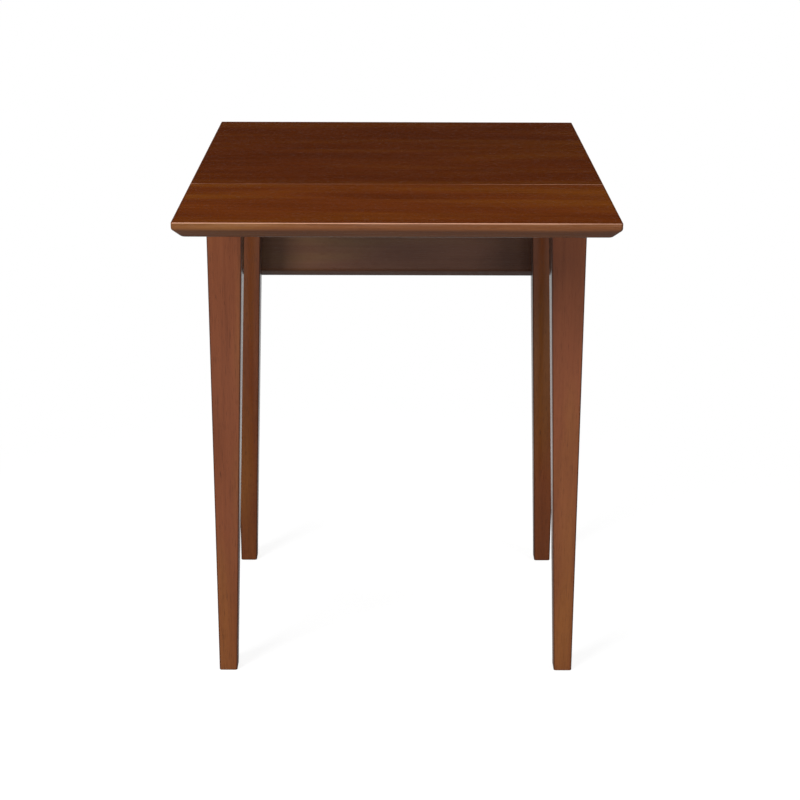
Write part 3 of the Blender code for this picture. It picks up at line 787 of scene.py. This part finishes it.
for quarters, (corner, seed) in enumerate(LEG_SEEDS.items()):
    low, high = corners("leg_" + corner)
    rings = leg_rings(high[2])
    flat = rings.reshape(-1, 3)
    turn = np.linalg.matrix_power(QUARTER, quarters)
    # Darkening lies on the four arrises: it is full at the middle points of each rounded corner.
    step = np.arange(rings.shape[1]) % CORNER_STEPS
    wear_highlight_and_dark = -LEG_DARKENING * np.tile(1 - np.abs(2 * step / (CORNER_STEPS - 1) - 1), len(rings))
    grain = flat[:, [2, 0, 1]] + seed * LEG_APART
    # The back legs take the darker wood, which is painted shade.
    stain = WOODS["front_leg" if "front" in corner else "back_leg_painted_shade"]
    put(
        "tapered_leg_" + corner, flat @ turn.T + np.append(outer_of(corner), 0.0), skin(rings),
        "table_frame", stain, ["leg_" + corner], {"grain": grain, "wear_highlight_and_dark": wear_highlight_and_dark},
    )
print("legs", len(LEG_SEEDS), "with", len(skin(rings)), "faces each")

# %% [markdown]
# ## Aprons and rails
#
# Four plain boards join the legs under the top: a rail below each hinge line and an apron along each
# side. They are sawn square and only sanded at the edges. A cube with a small Bevel would do for
# these, but the rings are there already, and they carry the grain, which runs along each board.

# %% Frame boards
SANDED = 0.0010  # rounding of a sanded edge
BOARD_STEPS = 5  # rings on each sanded edge
FRAME_APART = np.array([1.7, 0.23, 0.0])  # each board's grain is moved by this from the one before
ALONG_X, ALONG_Y = [0, 2, 1], [1, 2, 0]  # which coordinates run along, across and through the plank
FRAME_BOARDS = {
    "rail_front": ("cross_rail_front", ALONG_X),
    "rail_back": ("cross_rail_back", ALONG_X),
    "apron_left": ("side_apron_left", ALONG_Y),
    "apron_right": ("side_apron_right", ALONG_Y),
}


def sanded(low, high, steps):
    """Heights and insets of the rings of a block whose two ends are rounded by the sanding."""
    heights = np.concatenate([low + round_heights(SANDED, steps), high - round_heights(SANDED, steps)[::-1]])
    ease = round_inset(heights - low, SANDED, SANDED) + round_inset(high - heights, SANDED, SANDED)
    return with_ends(heights, low, high), with_ends(ease, ease[0] + FLAT, ease[-1] + FLAT)


for number, (node, (name, axes)) in enumerate(FRAME_BOARDS.items()):
    low, high = corners(node)
    wide, deep, tall = high - low
    heights, ease = sanded(0.0, tall, BOARD_STEPS)
    rings = stack(outline(ease, wide - ease, ease, deep - ease, SANDED), heights)
    flat = rings.reshape(-1, 3)
    marks = {"grain": flat[:, axes] + number * FRAME_APART, "wear_highlight_and_dark": np.zeros(len(flat))}
    put(name, flat + low, skin(rings), "table_frame", WOODS["frame"], [node], marks)
print("frame boards", list(FRAME_BOARDS))

# %% [markdown]
# ## Corner blocks
#
# A block lies across each corner, between the aprons, and takes the pull of the leg bolt. On the
# bench it is a short offcut with its ends sawn at 45 degrees. A turned and cut cube could give it.
# Its outline is known from the CAD block's box and the stock's thickness, so it is written down at
# once. The outline is shrunk a little at the top and the bottom, and its corners are cut.

# %% Corner blocks
BLOCK_T = 0.020  # thickness of the stock
BLOCK_STEPS = 4  # rings on each sanded edge
BLOCK_APART = 0.9  # each block's grain is moved along by this from the one before
ROOT2 = math.sqrt(2)


def sides_of(plan):
    """Unit vectors along the sides of an outline, from each corner to the next."""
    along = np.roll(plan, -1, 0) - plan
    return along / np.linalg.norm(along, axis=1, keepdims=True)


def shrunk(plan, by):
    """A convex outline moved inwards. Each corner goes in by the distance times the sum of its two
    inward normals over one plus their dot product."""
    inward = sides_of(plan)[:, ::-1] * [-1, 1]
    before = np.roll(inward, 1, 0)
    return plan + by * (before + inward) / (1 + (before * inward).sum(1, keepdims=True))


def corners_cut(plan, by):
    """The outline with each corner replaced by two points, one on each side of it."""
    along = sides_of(plan)
    return np.stack([plan - by * np.roll(along, 1, 0), plan + by * along], 1).reshape(-1, 2)


for number, corner in enumerate(LEG_SEEDS):
    low, high = corners("corner_block_" + corner)
    sign, origin = inward_of(corner), outer_of(corner)
    near, far = np.sort(np.abs([low[0] - origin[0], high[0] - origin[0]]))
    cut = far - BLOCK_T * ROOT2
    plan = np.array([[near, far], [near, cut], [cut, near], [far, near]])
    plan = (plan if sign.prod() > 0 else plan[::-1]) * sign + origin
    heights, ease = sanded(low[2], high[2], BLOCK_STEPS)
    rings = stack(np.stack([corners_cut(shrunk(plan, e), SANDED) for e in ease]), heights)
    flat = rings.reshape(-1, 3)
    x, y = ((flat[:, :2] - origin) * sign).T
    grain = np.stack([(x - y) / ROOT2 + number * BLOCK_APART, flat[:, 2], (x + y) / ROOT2], 1)
    put(
        "glue_block_" + corner, flat, skin(rings), "table_frame", WOODS["frame"],
        ["corner_block_" + corner], {"grain": grain, "wear_highlight_and_dark": np.zeros(len(flat))},
    )
print("corner blocks", len(LEG_SEEDS), "with", len(skin(rings)), "faces each")

# %% [markdown]
# ## Metal and nylon
#
# The hinges, clips, nuts and stays are pressed and turned parts whose CAD shapes are already right, so
# they stay and only get a finish. One grey would look like plastic. Zinc plate is bright and slightly
# blotched, so its colour and its gloss wander together. The stay arms are darker steel with an oiled
# look, and the shoes are off-white nylon. The bolts and screws below need these finishes too.

# %% Hardware finishes
# Band is the noise between which dark turns to light, spread is how much it changes the roughness, grit
# is how much finer the relief is, and bump is the relief's strength and its height in metres.
METAL = dict(band=(0.35, 0.65), spread=0.22, detail=4.0, grit=14, bump=(0.25, 0.00005), Metallic=1.0)
MOULDED = dict(band=(0.30, 0.70), spread=0.10, detail=2.0, grit=1, bump=(0.20, 0.00004))
RELIEF_DETAIL = 2.0


def mottled(name, light, dark, rough, scale, band, spread, detail, grit, bump, **more):
    """A finish whose colour and gloss wander between two values over a given scale."""
    material, tree, out = new_tree(name)
    place = add(tree, "TexCoord").outputs["Object"]
    cloud = add(tree, "TexNoise", {"Vector": place, "Scale": scale, "Detail": detail}).outputs["Fac"]
    finer = {"Vector": place, "Scale": grit * scale, "Detail": RELIEF_DETAIL}
    relief = add(tree, "TexNoise", finer).outputs["Fac"]
    colour = ramp(tree, cloud, *zip(band, (dark, light)))
    rough = math_of(tree, "MULTIPLY_ADD", cloud, spread, rough - spread / 2)
    surface(tree, out, colour, rough, relief, bump, **more)
    return material


ZINC = mottled("zinc_plate", (0.62, 0.61, 0.58), (0.46, 0.45, 0.43), 0.34, 90.0, **METAL)
DARK_STEEL = mottled("dark_steel", (0.17, 0.165, 0.16), (0.10, 0.098, 0.095), 0.40, 70.0, **METAL)
NYLON = mottled("shoe_nylon", (0.76, 0.74, 0.68), (0.66, 0.64, 0.58), 0.45, 260.0, **MOULDED)
print("hardware finishes", [m.name for m in (ZINC, DARK_STEEL, NYLON)])

# %% [markdown]
# ## Leg bolts
#
# A bolt screwed into each leg passes through the corner block and takes a flanged nut. Only its tail
# shows. A Screw modifier could wind a thread, but a thread is also just a tube whose radius falls and
# rises once for every pitch along it and every turn round it, and that is one line of numpy.

# %% Leg bolts
BOLT_R, THREAD_DEPTH, THREAD_PITCH = 0.0039, 0.00055, 0.00125
THREADED = 0.022  # length of the thread
BOLT_SIDES, PITCH_STEPS = 24, 8  # points round the bolt, and rings to each pitch
UP = np.array([0.0, 0.0, 1.0])


def threaded_rod(length):
    """Rings of a rod along Z. On its last stretch the radius loses the depth times a zigzag, which goes
    from one to zero and back for each pitch, one turn later for each turn round. The tip is narrower."""
    start = length - THREADED
    thread = np.arange(start, length - THREAD_PITCH / 2, THREAD_PITCH / PITCH_STEPS)
    along = np.concatenate([[0.0], thread, [length]])[:, None]
    turn = np.linspace(0, 2 * np.pi, BOLT_SIDES, endpoint=False)
    phase = (along / THREAD_PITCH - turn / (2 * np.pi)) % 1
    zigzag = np.abs(2 * phase - 1) * (along >= start)
    radius = BOLT_R - THREAD_DEPTH * zigzag
    radius[-1] = BOLT_R - 2 * THREAD_DEPTH
    return np.stack([radius * np.cos(turn), radius * np.sin(turn), along + 0 * turn], -1)


def diagonal_of(corner):
    """Unit vectors from a corner of the frame to its middle, and level across that way."""
    way = np.append(inward_of(corner) / ROOT2, 0.0)
    return way, np.array([-way[1], way[0], 0.0])


for corner in LEG_SEEDS:
    node = "leg_bolt_" + corner
    low, high = corners(node)
    way, side = diagonal_of(corner)
    origin = np.append(outer_of(corner), (low[2] + high[2]) / 2)
    cad_points = np.empty(3 * len(NODES[node].data.vertices))
    NODES[node].data.vertices.foreach_get("co", cad_points)
    reach = (cad_points.reshape(-1, 3) - origin) @ way
    rings = threaded_rod(np.ptp(reach))
    x, y, z = rings.reshape(-1, 3).T[:, :, None]
    points = origin + way * (reach.min() + z) + side * x + UP * y
    put("threaded_bolt_" + corner, points, skin(rings), "table_frame", ZINC, [node])
print("bolts", len(LEG_SEEDS), "of", round(1000 * np.ptp(reach), 1), "mm")

# %% [markdown]
# ## Screws
#
# Every plate is held by pan-head screws with a cross recess. They are too small for the CAD model, so
# each is only its head, seated on the plate. The recess could be cut with a Boolean. A head is a grid
# of rings and angles here, and its height is a flat dome, less a recess wherever the point lies
# within the half width of either arm of the cross. All the heads on one body are one piece.

# %% Screw heads
HEAD_R, HEAD_H, DOME_FALL = 0.0031, 0.0013, 0.45  # radius, height, and the share of it that the dome falls
CROSS_L, CROSS_W, CROSS_D = 0.55 * HEAD_R, 0.16 * HEAD_R, 0.65 * HEAD_H  # arm, half width and depth
HEAD_SIDES, HEAD_CREASE = 32, 25
HEAD_RINGS = np.array([0.04, 0.16, 0.26, 0.38, 0.50, 0.58, 0.72, 0.88, 0.97, 1.0, 1.0])  # of the radius
ASKEW = np.array([0.36, 0.48, 0.80])  # no plate faces this way, so it can set how a head is turned


def screw_head():
    """Rings of a head on Z = 0, from its rim in: the dome falls with the fourth power of the radius,
    and the cross is cut where either coordinate is small and the radius is less than the arm."""
    turn = np.linspace(0, 2 * np.pi, HEAD_SIDES, endpoint=False)
    radius = HEAD_R * HEAD_RINGS[:, None]
    x, y = radius * np.cos(turn), radius * np.sin(turn)
    height = HEAD_H * (1 - DOME_FALL * HEAD_RINGS[:, None] ** 4) - 0 * turn
    in_cross = (np.minimum(np.abs(x), np.abs(y)) < CROSS_W) & (radius < CROSS_L)
    height = height - CROSS_D * in_cross
    height[-1] = 0.0
    return np.stack([x, y, height], -1)[::-1]


def put_screws(name, body, seats):
    """Copies a head to each seat, a point and the direction that the head faces, as one piece."""
    head = screw_head()
    quads, ends = np.array(skin(head)[:-2]), np.array(skin(head)[-2:])
    points, faces = [], []
    for number, (at, facing) in enumerate(seats):
        side = np.cross(facing, ASKEW)
        side /= np.linalg.norm(side)
        axes = np.stack([side, np.cross(facing, side), facing])
        points.append(head.reshape(-1, 3) @ axes + at)
        first = number * head[..., 0].size
        faces += (quads + first).tolist() + (ends + first).tolist()
    put(name, np.concatenate(points), faces, body, ZINC, [], sharp=HEAD_CREASE)


print("points on a head", screw_head()[..., 0].size)

# %% [markdown]
# ## Where the screws sit
#
# Three screws go in each hinge plate, one in each tab of a track, two in each stay bracket, one in each
# leg of a clip and two in each corner block. Their places could be read off the model by hand. They
# are worked out from the boxes of the CAD plates and from the hinge axes, so they follow the plates.

# %% Hinge and track seats
AXES = {joint["name"]: np.array(joint["pos_m"]) for joint in frame["joints"]}
PLATE_FACE, WEB_FACE = 0.0017, 0.0020  # visible face of a hinge plate, and of a track, from the hinge axis
PLATE_ROWS = [(-0.017, 0.0105), (0.0, 0.0160), (0.017, 0.0105)]  # along the axis, and away from it
TAB_NEAR, TAB_FAR = 0.0060, 0.0050  # from the near and far ends of a track
TO_BACK = np.array([0.0, 1.0, 0.0])
seats = {"table_frame": [], "front_leaf": [], "back_leaf": []}

for corner in LEG_SEEDS:
    leaf = corner.split("_")[0] + "_leaf"
    axis, inward = AXES[leaf + "_hinge"], TO_BACK * inward_of(corner)[1]
    # Away from the axis along the leaf, and out of its underside: the back leaf hangs.
    outward, under = (-inward, -UP) if leaf == "front_leaf" else (-UP, inward)
    plate = np.mean(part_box("hinge_fixed_" + corner), 0)[0]
    for along, away in PLATE_ROWS:
        spot = axis + [plate + along, 0, 0]
        seats["table_frame"].append((spot + inward * away + UP * PLATE_FACE, -UP))
        seats[leaf].append((spot + outward * away - under * PLATE_FACE, under))
    low, high = corners("stay_track_" + corner)
    near, far = np.sort(np.abs(np.stack([low, high]) @ outward - axis @ outward))
    spot = axis + [(low[0] + high[0]) / 2, 0, 0]
    for away in (near + TAB_NEAR, far - TAB_FAR):
        seats[leaf].append((spot + outward * away - under * WEB_FACE, under))
print("hinge and track seats", {body: len(places) for body, places in seats.items()})

# %% Bracket, clip and block seats
BRACKET_T, CLIP_T = 0.0025, 0.0022  # thickness of the plates
BRACKET_SEATS = [(0.36, 0.80), (0.72, 0.30)]  # shares of a bracket's width and height
CLIP_OFF, BLOCK_OFF = 0.003, 0.021  # how far a seat lies from the middle of a clip, and of a block

on_frame = seats["table_frame"]
for corner in LEG_SEEDS:
    sign = inward_of(corner)
    in_front = sign[1] > 0
    low, high = corners("stay_bracket_" + corner)
    wall = (high[1] if in_front else low[1]) - sign[1] * BRACKET_T
    for across, rise in BRACKET_SEATS:
        spot = low + (high - low) * [across if in_front else 1 - across, 0, rise]
        on_frame.append((np.array([spot[0], wall, spot[2]]), -TO_BACK * sign[1]))
    low, high = corners("top_clip_" + corner)
    wall = (low[0] if sign[0] > 0 else high[0]) + sign[0] * CLIP_T
    x, y, z = (low + high) / 2
    on_frame.append((np.array([x + sign[0] * CLIP_OFF, y, high[2] - CLIP_T]), -UP))
    on_frame.append((np.array([wall, y, z - CLIP_OFF]), np.array([sign[0], 0, 0])))
    low, high = corners("corner_block_" + corner)
    way, side = diagonal_of(corner)
    origin = np.append(outer_of(corner), (low[2] + high[2]) / 2)
    face = origin + way * (np.abs([low[0] - origin[0], high[0] - origin[0]]).sum() / ROOT2)
    for offset in (-BLOCK_OFF, BLOCK_OFF):
        on_frame.append((face + side * offset, way))
print("seats on the frame", len(on_frame))

# %% Screws
for body, places in seats.items():
    name = ("frame" if body == "table_frame" else body) + "_screws"
    put_screws(name, body, places)
    print(name, len(places), "screws")

# %% [markdown]
# ## Finishes for the CAD pieces
#
# What is still a CAD node is a piece of hardware. Each could be painted by hand. A loop gives it the
# finish of its kind, by the first words of its name, and passes over the nodes that were replaced.

# %% Dress the CAD hardware
FINISHES = {"stay_arm": DARK_STEEL, "stay_shoe": NYLON}  # all other hardware is zinc-plated

dressed = [name for name, obj in NODES.items() if not obj.hide_render]
for name in dressed:
    finish = next((f for kind, f in FINISHES.items() if name.startswith(kind)), ZINC)
    NODES[name].data.materials.clear()
    NODES[name].data.materials.append(finish)
print("CAD nodes with a new finish", len(dressed))
